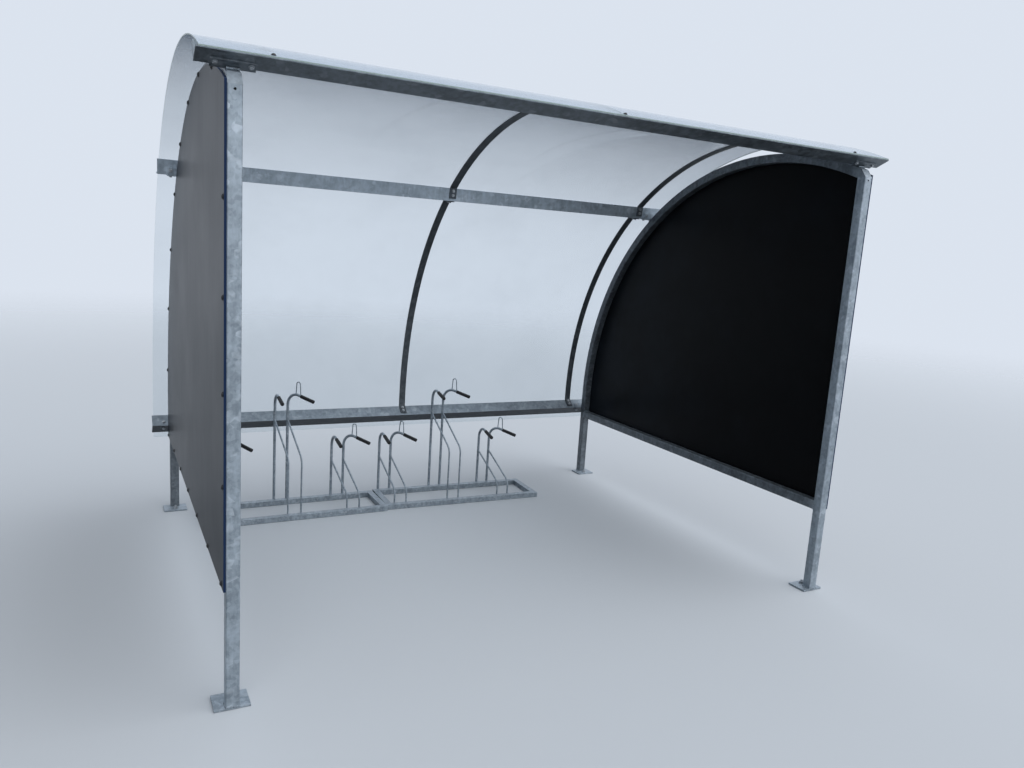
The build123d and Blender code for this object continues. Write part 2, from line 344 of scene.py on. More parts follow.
@dataclass(frozen=True)
class Board:
    """Dark through-coloured board with a satin face; its cut edges have a blue film.

    Face and dust are the colours of its clean inside; towards the back there it grows lighter with painted
    light.
    Weathered and streaked are the outside's. Scales count to the metre, and back_step is a depth and the
    distance over which the painted light grows from there.
    """

    face: Colour = (0.0028, 0.0031, 0.004, 1.0)
    dust: Colour = (0.007, 0.009, 0.013, 1.0)
    back_glow: Colour = (0.018, 0.023, 0.031, 1.0)
    weathered: Colour = (0.016, 0.018, 0.022, 1.0)
    streaked: Colour = (0.034, 0.038, 0.045, 1.0)
    film: Colour = (0.017, 0.036, 0.09, 1.0)
    edge_step: Step = (0.4, 0.2)
    back_step: Step = (-0.3, 1.6)
    dust_step: Step = (0.45, 0.4)
    dust_share: float = 0.6
    back_glow_step: Step = (0.1, 0.6)
    run_share: float = 0.7
    mark_share: float = 0.5
    worn_step: Step = (0.4, 0.5)
    roughness: float = 0.34
    mark_rough: float = 0.12
    edge_rough: float = 0.1
    index: float = 1.15
    mark_scale: float = 3.0
    run_scale: float = 26.0
    run_stretch: float = 0.08
    grain_scale: float = 420.0
    relief: float = 0.00006

    def build(self) -> bpy.types.Material:
        """Makes the material: a face whose normal lies along X is a board face, any other is an edge.

        Outside is where the normal and X have one sign; rain has left dust in long runs there. Inside,
        blotches of painted light grow towards the back.

        Returns:
            The material.
        """
        g = Graph.named("dark_board")
        where = g.place()
        along = g.facing(0)
        is_edge = 1.0 - (along * along).above(*self.edge_step)
        outside = (along * g.axis(where, 0)).above(0.0, 1.0)
        back = g.axis(where, 1).above(*self.back_step)
        marks = g.noise(where, self.mark_scale, detail=5.0, rough=0.6)
        runs = g.noise(g.place((1.0, 1.0, self.run_stretch)), self.run_scale, detail=5.0, rough=0.65)
        streaks = (runs * self.run_share + marks * self.mark_share).above(*self.worn_step)
        worn = g.blend(streaks, self.weathered, self.streaked)
        colour = g.blend(marks.above(*self.dust_step) * self.dust_share, self.face, self.dust)
        # Painted light: blotches on the inside grow lighter towards the back.
        colour = g.blend(back * marks.above(*self.back_glow_step), colour, self.back_glow)
        colour = g.blend(is_edge, g.blend(outside, colour, worn), self.film)
        relief = g.bump(g.noise(where, self.grain_scale, detail=2.0), self.relief)
        uneven = marks * self.mark_rough + is_edge * self.edge_rough
        roughness = uneven + (self.roughness - self.mark_rough / 2)
        return g.finish(g.coat(colour, roughness, {"IOR": self.index, "Normal": relief}))


@dataclass(frozen=True)
class ClearSheet:
    """Bent clear plastic: it lets most light through face on and mirrors the sky at a low angle.

    Tint is what one face lets through, and veil is the colour of the dusty gloss. Least and most bound the
    share of gloss. Dust adds a little to it, and so does a painted highlight over the top of the roof,
    whose step is a height and a distance.
    """

    tint: Colour = (0.955, 0.972, 0.982, 1.0)
    veil: Colour = (0.5, 0.6, 0.72, 1.0)
    least: float = 0.03
    most: float = 0.95
    steepness: float = 3.2
    dust_scale: float = 2.2
    dust_step: Step = (0.35, 0.5)
    dust_share: float = 0.04
    dust_rough: float = 0.06
    roughness: float = 0.04
    top_sheen_share: float = 0.05
    top_sheen_step: Step = (1.7, 0.4)
    index: float = 1.49
    wave_scale: float = 1.6
    wave_depth: float = 0.004

    def build(self) -> bpy.types.Material:
        """Makes the material: gloss = least + (most - least) turned_away ** steepness + dust + painted top
        highlight.

        Returns:
            The material.
        """
        g = Graph.named("clear_sheet")
        where = g.place()
        turned_away = g.node("LayerWeight", {}, {"Blend": 0.5}, "Facing")
        dust = g.noise(where, self.dust_scale, detail=5.0, rough=0.6).above(*self.dust_step)
        # Painted highlight: the top of the roof gets a larger share of the pale gloss.
        roof = g.axis(where, 2).above(*self.top_sheen_step)
        share = (turned_away ** self.steepness) * (self.most - self.least)
        share = share + dust * self.dust_share + roof * self.top_sheen_share + self.least
        relief = g.bump(g.noise(where, self.wave_scale, detail=1.0), self.wave_depth)
        roughness = dust * self.dust_rough + self.roughness
        gloss = g.coat(self.veil, roughness, {"IOR": self.index, "Normal": relief})
        through = g.node("BsdfTransparent", {}, {"Color": self.tint})
        return g.finish(g.node("MixShader", {}, {0: share, 1: through, 2: gloss}))


@dataclass(frozen=True)
class SheetEdge:
    """Sawn edge of the clear sheet, where light gathers in a pale green."""

    colour: Colour = (0.42, 0.56, 0.52, 1.0)
    light: Colour = (0.72, 0.84, 0.82, 1.0)
    saw_scale: float = 300.0
    saw_rough: float = 0.2
    roughness: float = 0.25
    relief: float = 0.0001

    def build(self) -> bpy.types.Material:
        """Makes the material with fine saw marks.

        Returns:
            The material.
        """
        g = Graph.named("sheet_edge")
        marks = g.noise(g.place(), self.saw_scale, detail=2.0)
        colour = g.blend(marks, self.colour, self.light)
        roughness = marks * self.saw_rough + self.roughness
        return g.finish(g.coat(colour, roughness, {"Normal": g.bump(marks, self.relief)}))


@dataclass(frozen=True)
class Rubber:
    """Black rubber, matt and slightly dusty."""

    colour: Colour = (0.006, 0.006, 0.007, 1.0)
    dust: Colour = (0.03, 0.03, 0.032, 1.0)
    dust_step: Step = (0.5, 0.3)
    dust_share: float = 0.5
    grain_scale: float = 220.0
    grain_rough: float = 0.3
    roughness: float = 0.45
    relief: float = 0.0003

    def build(self) -> bpy.types.Material:
        """Makes the material.

        Returns:
            The material.
        """
        g = Graph.named("black_rubber")
        grain = g.noise(g.place(), self.grain_scale, detail=4.0, rough=0.7)
        colour = g.blend(grain.above(*self.dust_step) * self.dust_share, self.colour, self.dust)
        roughness = grain * self.grain_rough + self.roughness
        return g.finish(g.coat(colour, roughness, {"Normal": g.bump(grain, self.relief)}))


class FastenerLook(Enum):
    """Coating of a fastener."""

    BRIGHT_ZINC = "bright_zinc"
    BLACK = "black"


@dataclass(frozen=True)
class Coated:
    """Small turned steel with a plated or painted face, between a low and a high grey."""

    look: FastenerLook
    low: float
    high: float
    metal: float
    roughness: float
    wear_scale: float = 400.0
    wear_step: Step = (0.35, 0.4)
    wear_rough: float = 0.2
    relief: float = 0.0001
    low_cool: float = 0.6
    high_cool: float = 0.3

    def build(self) -> bpy.types.Material:
        """Makes the material with fine wear.

        Returns:
            The material.
        """
        g = Graph.named(f"fastener_{self.look.value}")
        wear = g.noise(g.place(), self.wear_scale, detail=3.0, rough=0.6)
        low, high = grey(self.low, self.low_cool), grey(self.high, self.high_cool)
        colour = g.blend(wear.above(*self.wear_step), low, high)
        others = {"Metallic": self.metal, "Normal": g.bump(wear, self.relief)}
        return g.finish(g.coat(colour, wear * self.wear_rough + self.roughness, others))


@dataclass(frozen=True)
class WeldSeam:
    """Weld bead under zinc: rippled and a little brighter than the steel beside it."""

    low: float = 0.16
    high: float = 0.5
    metal: float = 0.5
    spot_scale: float = 140.0
    spot_step: Step = (0.3, 0.45)
    spot_rough: float = 0.2
    roughness: float = 0.35
    relief: float = 0.0004

    def build(self) -> bpy.types.Material:
        """Makes the material.

        Returns:
            The material.
        """
        g = Graph.named("weld_seam")
        spots = g.noise(g.place(), self.spot_scale, detail=4.0, rough=0.65)
        colour = g.blend(spots.above(*self.spot_step), grey(self.low), grey(self.high))
        others = {"Metallic": self.metal, "Normal": g.bump(spots, self.relief)}
        return g.finish(g.coat(colour, spots * self.spot_rough + self.roughness, others))


class Finishes:
    """All the shelter's materials, each made once."""

    def __init__(self, front_y: float) -> None:
        """Builds every finish.

        Args:
            front_y: front of the posts; a bow is pale at its bevelled corner, up to 30 mm behind it, and
                darker with painted shade beyond.
        """
        coarse = {"crystal": 0.016, "patch": 0.09}
        fine = {"crystal": 0.006, "patch": 0.03, "flake": 0.012}
        self.post = Galvanised(ZincLook.POST, 0.25, 0.5).build()
        # Painted shade: the bow's greys are darker than the post's, but for its bevelled front corner.
        self.bow = Galvanised(ZincLook.BOW, 0.085, 0.22, metal=0.35, pale_before=front_y + 0.03).build()
        self.rib = Galvanised(ZincLook.RIB, 0.05, 0.15, roughness=0.5, metal=0.35).build()
        # Painted shade: the beams' undersides are darkened, the rear beam's most.
        self.beam = Galvanised(ZincLook.BEAM, 0.12, 0.3, underside_shade=0.2, **coarse).build()
        # Painted light: the purlin's greys are paler than the other zinc's.
        self.purlin = Galvanised(ZincLook.PURLIN, 0.32, 0.6, **coarse).build()
        self.rear = Galvanised(ZincLook.REAR_BEAM, 0.2, 0.4, underside_shade=0.85, **coarse).build()
        self.rack = Galvanised(ZincLook.RACK, 0.22, 0.46, **fine).build()
        self.board = Board().build()
        self.sheet = ClearSheet().build()
        self.sheet_edge = SheetEdge().build()
        self.rubber = Rubber().build()
        self.bright = Coated(FastenerLook.BRIGHT_ZINC, 0.3, 0.6, 0.8, 0.25).build()
        self.black = Coated(FastenerLook.BLACK, 0.006, 0.02, 0.0, 0.3).build()
        self.weld = WeldSeam().build()


@dataclass
class Shape:
    """Points and faces of a mesh as whole arrays; every face has four corners."""

    points: np.ndarray
    faces: np.ndarray

    def moved(self, offset: Sequence[float]) -> "Shape":
        """The same shape at another place."""
        return Shape(self.points + np.asarray(offset), self.faces)

    def turned(self, angle: float) -> "Shape":
        """The same shape turned about the Z axis by an angle in radians."""
        c, s = math.cos(angle), math.sin(angle)
        return Shape(self.points @ np.array([[c, s, 0], [-s, c, 0], [0, 0, 1]]), self.faces)

    @staticmethod
    def joined(shapes: Iterable["Shape"]) -> "Shape":
        """Several shapes as one.

        Args:
            shapes: the shapes to put together.

        Returns:
            One shape whose faces count through all the points.
        """
        parts = list(shapes)
        starts = np.cumsum([0] + [len(part.points) for part in parts[:-1]])
        faces = [part.faces + start for part, start in zip(parts, starts)]
        return Shape(np.concatenate([part.points for part in parts]), np.concatenate(faces))


def points_at(x: float | np.ndarray, y: float | np.ndarray, z: float | np.ndarray) -> np.ndarray:
    """Points from their coordinates, where a single number holds for all of them."""
    return np.stack(np.broadcast_arrays(x, y, z), -1)


def net(rows: int, columns: int, round_rows: bool, round_columns: bool) -> np.ndarray:
    """Faces of a grid of points, closed on itself along either parameter.

    Args:
        rows: points along the first parameter.
        columns: points along the second parameter.
        round_rows: whether the last row joins the first.
        round_columns: whether the last column joins the first.

    Returns:
        Corner numbers, four to a face.
    """
    i = np.arange(rows if round_rows else rows - 1)[:, None]
    j = np.arange(columns if round_columns else columns - 1)[None, :]
    below, beside = (i + 1) % rows, (j + 1) % columns
    corners = [i * columns + j, below * columns + j, below * columns + beside, i * columns + beside]
    return np.stack([np.broadcast_to(c, (i.size, j.size)) for c in corners], -1).reshape(-1, 4)


def revolve(profile: Sequence[Sequence[float]], sides: int) -> Shape:
    """Profile turned about the Z axis: point = (r cos a, r sin a, z) for the profile's r and z.

    Args:
        profile: radius and height pairs, from axis to axis, so that both poles close.
        sides: steps round the axis.

    Returns:
        The closed shape.
    """
    r, z = np.asarray(profile, float).T[:, :, None]
    a = np.arange(sides)[None, :] * 2 * np.pi / sides
    points = points_at(r * np.cos(a), r * np.sin(a), z)
    return Shape(points.reshape(-1, 3), net(len(profile), sides, False, True))


def tube(path: np.ndarray, aside: Sequence[float], radius: float | np.ndarray, sides: int,
         closed: bool = False) -> Shape:
    """Round bar along a flat path: point = path + radius (cos a across + sin a aside).

    Args:
        path: points of the middle line, in one plane.
        aside: direction square to that plane.
        radius: one radius, or one for each point of the path.
        sides: steps round the bar.
        closed: whether the path runs back to its start.

    Returns:
        The bar, with both ends drawn in to a point unless it is closed.
    """
    aside = np.asarray(aside, float) / np.linalg.norm(aside)
    radii = np.broadcast_to(radius, len(path)).astype(float)
    if not closed:
        path = np.concatenate([path[:1], path, path[-1:]])
        radii = np.concatenate([[0.0], radii, [0.0]])
    ahead = np.roll(path, -1, 0) - np.roll(path, 1, 0)
    if not closed:
        ahead[[0, 1]] = path[2] - path[1]
        ahead[[-1, -2]] = path[-2] - path[-3]
    ahead /= np.linalg.norm(ahead, axis=1, keepdims=True)
    across = np.cross(aside, ahead)
    a = (np.arange(sides) * 2 * np.pi / sides)[None, :, None]
    ring = np.cos(a) * across[:, None, :] + np.sin(a) * aside
    points = path[:, None, :] + radii[:, None, None] * ring
    return Shape(points.reshape(-1, 3), net(len(path), sides, closed, True))


def bent_line(corners: Sequence[Sequence[float]], bend: float, steps: int = 10) -> np.ndarray:
    """Middle line of straight runs whose inner corners are rounded to arcs of one radius.

    Each arc runs from one tangent point to the other: point = centre + cos a start - bend sin a back.
    There start is the first tangent point seen from the centre, and back the unit way back along the run.

    Args:
        corners: the runs' corners.
        bend: radius of the arcs.
        steps: points along each arc.

    Returns:
        The line's points.
    """
    corners = [np.asarray(corner, float) for corner in corners]
    line = [corners[0][None]]
    for before, corner, after in zip(corners, corners[1:], corners[2:]):
        back = (before - corner) / np.linalg.norm(before - corner)
        on = (after - corner) / np.linalg.norm(after - corner)
        half = math.acos(float(np.clip(back @ on, -1, 1))) / 2
        middle = (back + on) / np.linalg.norm(back + on)
        centre = corner + middle * bend / math.sin(half)
        start = corner + back * bend / math.tan(half) - centre
        a = np.linspace(0, math.pi - 2 * half, steps)[:, None]
        line.append(centre + np.cos(a) * start - np.sin(a) * bend * back)
    line.append(corners[-1][None])
    return np.concatenate(line)


def scattered(shape: Shape, places: np.ndarray, axes: np.ndarray) -> Shape:
    """Copies of a shape, each with its Z axis turned to a direction.

    A copy's X axis is square to that direction and to X, or to Z where the direction is near X.

    Args:
        shape: the shape round its own Z axis.
        places: one point for each copy.
        axes: one direction for each copy.

    Returns:
        All the copies as one shape.
    """
    axes = np.asarray(axes, float)
    ahead = axes / np.linalg.norm(axes, axis=1, keepdims=True)
    guide = np.where(np.abs(ahead[:, :1]) < 0.8, [[1.0, 0.0, 0.0]], [[0.0, 0.0, 1.0]])
    first = np.cross(guide, ahead)
    first /= np.linalg.norm(first, axis=1, keepdims=True)
    turn = np.stack([first, np.cross(ahead, first), ahead], 1)
    points = np.asarray(places, float)[:, None, :] + shape.points @ turn
    starts = np.arange(len(points))[:, None, None] * len(shape.points)
    return Shape(points.reshape(-1, 3), (shape.faces[None] + starts).reshape(-1, 4))


def make_piece(name: str, shape: Shape, finish: bpy.types.Material, sharp: float = CREASE,
               edge: bpy.types.Material | None = None,
               is_edge: np.ndarray | None = None) -> bpy.types.Object:
    """Turns a shape into an object that rides on the shelter.

    Args:
        name: the piece's name.
        shape: its points and faces.
        finish: its material.
        sharp: faces that meet at more than this angle in degrees keep a sharp edge.
        edge: the material of its cut edges, if that is another one.
        is_edge: 1 for each face that is a cut edge.

    Returns:
        The object, closed and with its faces outwards.
    """
    mesh = bpy.data.meshes.new(name)
    mesh.from_pydata(shape.points.tolist(), [], shape.faces.tolist())
    if is_edge is not None:
        mesh.polygons.foreach_set("material_index", is_edge.astype(np.int32))
    work = bmesh.new()
    work.from_mesh(mesh)
    bmesh.ops.remove_doubles(work, verts=work.verts, dist=MERGE_DISTANCE)
    bmesh.ops.recalc_face_normals(work, faces=work.faces)
    work.to_mesh(mesh)
    work.free()
    mesh.shade_smooth()
    mesh.set_sharp_from_angle(angle=math.radians(sharp))
    for material in filter(None, (finish, edge)):
        mesh.materials.append(material)
    piece = bpy.data.objects.new(name, mesh)
    bpy.context.scene.collection.objects.link(piece)
    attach(piece, BODY)
    log.info("%s: %d faces", name, len(mesh.polygons))
    return piece


def dress(nodes: Iterable[str], material: bpy.types.Material) -> None:
    """Gives CAD pieces their finish.

    Args:
        nodes: their names.
        material: the finish.
    """
    for node in nodes:
        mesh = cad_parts[node].data
        mesh.materials.clear()
        mesh.materials.append(material)
        log.info("%s: %s", node, material.name)


def box_middle(node: str) -> tuple[float, float, float]:
    """Middle of a CAD piece's box."""
    return tuple((low + high) / 2 for low, high in zip(*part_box(node)))


def heading(turn: float) -> np.ndarray:
    """Direction (0, cos turn, sin turn) of a turn in degrees from the back."""
    a = math.radians(turn)
    return np.array([0.0, math.cos(a), math.sin(a)])


@dataclass(frozen=True)
class Bow:
    """The circle of the bent tubes, and what is set out from it. Turns are in degrees from the back."""

    tube: float = 0.045
    radius: float = 1.6
    front_setback: float = 0.0556
    middle_turn: float = 52.0
    bracket: float = 0.005
    leg: float = 0.07
    thickness: float = 0.006

    @property
    def front_y(self) -> float:
        """Front face of the posts."""
        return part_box("front_post_left")[0].y

    @property
    def centre(self) -> tuple[float, float]:
        """Middle of the circle as Y and Z."""
        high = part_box("bow_left")[1]
        return high.y - self.radius, high.z - self.radius

    @property
    def corner_radius(self) -> float:
        """Distance from the middle to the purlins' corners."""
        return self.radius + self.bracket * math.sqrt(2)

    @property
    def front_turn(self) -> float:
        """Turn of the front beam, from its distance behind the posts' front."""
        reach = self.centre[0] - self.front_y - self.front_setback
        return 180 - math.degrees(math.acos(reach / self.corner_radius))

    @property
    def sheet_radius(self) -> float:
        """Inside of the clear sheets: they lie on the purlins' leg tips."""
        out, aside = (self.leg + self.thickness) / math.sqrt(2), (self.leg - self.thickness) / math.sqrt(2)
        return math.hypot(self.corner_radius + out, aside)

    def points(self, radius: float | np.ndarray, turns: float | np.ndarray) -> np.ndarray:
        """Points in the plane X = 0: centre + radius (cos turn, sin turn).

        Args:
            radius: one radius, or one for each point.
            turns: turns in degrees.

        Returns:
            The points.
        """
        a = np.radians(turns)
        y, z = self.centre
        return points_at(0.0, y + radius * np.cos(a), z + radius * np.sin(a))


@dataclass
class AngleBar:
    """Place of one angle bar: its turn round the bow in degrees, its corner, and points on its legs."""

    node: str
    turn: float
    bow: Bow
    corner: np.ndarray = field(init=False)

    def __post_init__(self) -> None:
        """Finds the corner: the CAD bar's lowest Y and Z are those of its lowest leg points."""
        low, leg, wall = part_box(self.node)[0], self.bow.leg, self.bow.thickness
        up, down = self.along(1), self.along(-1)
        tips = np.stack([0 * up, up * leg, down * leg, up * leg + down * wall, down * leg + up * wall])
        self.corner = np.array([0.0, low.y, low.z]) - tips.min(0)

    def along(self, way: int) -> np.ndarray:
        """Direction of a leg: way 1 is the leg further round the bow, -1 the other."""
        return heading(self.turn + way * 45)

    def outward(self, way: int) -> np.ndarray:
        """Direction square to a leg, towards the bow."""
        return heading(self.turn + way * 135)

    def reach(self, way: int) -> float:
        """Distance along a leg's line from the corner to the inside of the sheets.

        It is a chord's length, and behind the straight legs, where the turn is 0, the sheet is flat.

        Args:
            way: the leg.

        Returns:
            The distance.
        """
        gap = self.bow.sheet_radius - self.bow.corner_radius
        if self.turn == 0:
            return gap * math.sqrt(2)
        out = self.corner - [0.0, *self.bow.centre]
        along = float(out @ self.along(way))
        return math.sqrt(along ** 2 - float(out @ out) + self.bow.sheet_radius ** 2) - along


@dataclass
class Hardware:
    """Shapes of the fasteners, each round its own Z axis with its seat at Z = 0.

    The shares of a washer, a corner, a nut and an end count in bolt diameters, and the others in the size
    of the head that they shape.
    """

    bolt: float = 0.008
    head_height: float = 0.0053
    washer_thickness: float = 0.0016
    washer_share: float = 1.1
    corner_share: float = 0.94
    turned_off_share: float = 0.84
    flank_share: float = 0.82
    nut_share: float = 0.8
    end_share: float = 1.55
    end_bevel: float = 0.0008
    thin_washer: float = 0.0012
    thin_washer_share: float = 1.25
    under_head_share: float = 0.9
    dome_steps: int = 6

    def washer(self, radius: float, thickness: float) -> Shape:
        """Flat ring; the bolt covers its hole."""
        return revolve([(0, 0), (radius, 0), (radius, thickness), (0, thickness)], sides=20)

    def hexagon(self, height: float) -> Shape:
        """Hexagon head or nut on a washer, with its corners turned off.

        Args:
            height: the head's or nut's own height.

        Returns:
            The shape.
        """
        corner, seat = self.bolt * self.corner_share, self.washer_thickness
        outline = [(0, seat), (corner, seat), (corner, seat + height * self.flank_share),
                   (corner * self.turned_off_share, seat + height), (0, seat + height)]
        return Shape.joined([self.washer(self.bolt * self.washer_share, seat), revolve(outline, sides=6)])

    def nut(self) -> Shape:
        """Nut with the bolt's end standing out of it.

        Returns:
            The shape.
        """
        radius, high, bevel = self.bolt / 2, self.bolt * self.end_share, self.end_bevel
        end = [(0, 0), (radius, 0), (radius, high - bevel), (radius - bevel, high), (0, high)]
        return Shape.joined([self.hexagon(self.bolt * self.nut_share), revolve(end, sides=12)])

    def round_head(self, radius: float, height: float) -> Shape:
        """Domed screw head on a thin washer: r = R sin a, z = washer + H cos a.

        Args:
            radius: the dome's radius R.
            height: the dome's height H.

        Returns:
            The shape.
        """
        a = np.linspace(0, np.pi / 2, self.dome_steps)
        dome = np.stack([radius * np.sin(a), self.thin_washer + height * np.cos(a)], -1)
        dome = np.concatenate([dome, [[radius * self.under_head_share, 0.0], [0.0, 0.0]]])
        washer = self.washer(radius * self.thin_washer_share, self.thin_washer)
        return Shape.joined([washer, revolve(dome, sides=14)])


@dataclass
class Assembly:
    """What the sub-assemblies of the roofed frame share."""

    bow: Bow
    finishes: Finishes
    hardware: Hardware


@dataclass
class EndFrames(Assembly):
    """Posts, bows, side rails and feet, with their welds and ground anchors."""

    anchor: float = 0.012
    bead: float = 0.0032
    bead_corner: float = 0.004
    bead_steps: int = 160
    ripple: float = 0.22
    ripples: int = 46
    slow_ripple: float = 0.12
    slow_ripples: int = 17
    foot_seeds: tuple[float, float] = (0.3, 2.0)
    rail_seeds: tuple[float, float] = (2.9, 3.7)

    def loop(self, centre: Sequence[float], axes: tuple[int, int], seed: float) -> Shape:
        """Weld bead round a square tube.

        Its radius is bead (1 + ripple sin(ripples a + seed) + slow ripple sin(slow ripples a + 2 seed)).
        Its path is a square with round corners: point = square point + corner radius (cos a, sin a).

        Args:
            centre: middle of the loop.
            axes: the two axes of its plane.
            seed: shifts the ripple.

        Returns:
            The closed bead.
        """
        a = np.linspace(0, 2 * np.pi, self.bead_steps, endpoint=False)
        wave = np.stack([np.cos(a), np.sin(a)], -1)
        square = wave / np.max(np.abs(wave), 1, keepdims=True) * (self.bow.tube / 2 - self.bead_corner)
        path = np.zeros((self.bead_steps, 3)) + np.asarray(centre)
        path[:, list(axes)] += square + wave * self.bead_corner
        aside = np.zeros(3)
        aside[3 - sum(axes)] = 1.0
        swell = self.ripple * np.sin(a * self.ripples + seed)
        swell += self.slow_ripple * np.sin(a * self.slow_ripples + 2 * seed)
        return tube(path, aside, self.bead * (1 + swell), sides=8, closed=True)

    def welds(self, name: str) -> Shape:
        """Beads of one end frame, at both feet and both ends of the rail; its corner is ground flush.

        Args:
            name: left or right.

        Returns:
            All the beads.
        """
        x, _, rail_z = box_middle(f"side_rail_{name}")
        rail, foot_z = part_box(f"side_rail_{name}"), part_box(f"front_foot_{name}")[1].z
        tubes = box_middle(f"front_post_{name}")[1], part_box(f"bow_{name}")[1].y - self.bow.tube / 2
        at_feet = [self.loop((x, y, foot_z), (0, 1), seed) for y, seed in zip(tubes, self.foot_seeds)]
        at_rail = [self.loop((x, end.y, rail_z), (0, 2), seed) for end, seed in zip(rail, self.rail_seeds)]
        return Shape.joined(at_feet + at_rail)

    def anchors(self) -> tuple[np.ndarray, np.ndarray]:
        """Places and directions of the ground bolts, in the middle of each foot's free part.

        Returns:
            One place and one direction for each bolt.
        """
        places = []
        for name in SIDES:
            for row, near in (("front", 1), ("rear", -1)):
                low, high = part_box(f"{row}_foot_{name}")
                edge = low.y if near > 0 else high.y
                free = (self.bow.tube + high.y - low.y) / 2
                places.append((box_middle(f"{row}_foot_{name}")[0], edge + near * free, high.z))
        return np.array(places), np.tile([0.0, 0.0, 1.0], (len(places), 1))

    def build(self) -> None:
        """Dresses the tubes and adds welds and anchors."""
        finishes = self.finishes
        dressed = {"front_post": finishes.post, "front_foot": finishes.post, "rear_foot": finishes.post,
                   "bow": finishes.bow, "side_rail": finishes.bow}
        for part, finish in dressed.items():
            dress([f"{part}_{name}" for name in SIDES], finish)
        for name in SIDES:
            beads = self.welds(name)
            make_piece(f"frame_welds_{name}", beads, finishes.weld, sharp=BEAD_CREASE)
        nuts = scattered(replace(self.hardware, bolt=self.anchor).nut(), *self.anchors())
        make_piece("anchor_nuts", nuts, finishes.bright)


@dataclass
class SidePanels(Assembly):
    """Dark boards on the outside of the end frames, and the screws round their edges."""

    head: float = 0.0085
    head_height: float = 0.0048
    corner_inset: float = 0.03
    rail_screws: int = 7
    post_rows: tuple[float, ...] = (0.78, 1.086, 1.392, 1.698)
    bow_turns: tuple[float, float] = (8.7, 101.5)
    bow_screws: int = 8

    def screw_line(self) -> np.ndarray:
        """Screws in the plane X = 0, along the middle lines of the rail, the post and the bow.

        Returns:
            One place for each screw.
        """
        half = self.bow.tube / 2
        front, back = self.bow.front_y + half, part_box("bow_left")[1].y - half
        depths = np.linspace(front + self.corner_inset, back - self.corner_inset, self.rail_screws)
        along_rail = points_at(0.0, depths, box_middle("side_rail_left")[2])
        up_post = points_at(0.0, front, self.post_rows)
        turns = np.linspace(*self.bow_turns, self.bow_screws)
        return np.concatenate([along_rail, up_post, self.bow.points(self.bow.radius - half, turns)])

    def build(self) -> None:
        """Dresses the boards and adds a black round-headed screw at each place."""
        dress([f"side_panel_{name}" for name in SIDES], self.finishes.board)
        line = self.screw_line()
        head = self.hardware.round_head(self.head, self.head_height)
        for name, side in SIDES.items():
            low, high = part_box(f"side_panel_{name}")
            face = low.x if side < 0 else high.x
            screws = scattered(head, line + [face, 0.0, 0.0], np.tile([side, 0.0, 0.0], (len(line), 1)))
            make_piece(f"panel_screws_{name}", screws, self.finishes.black)


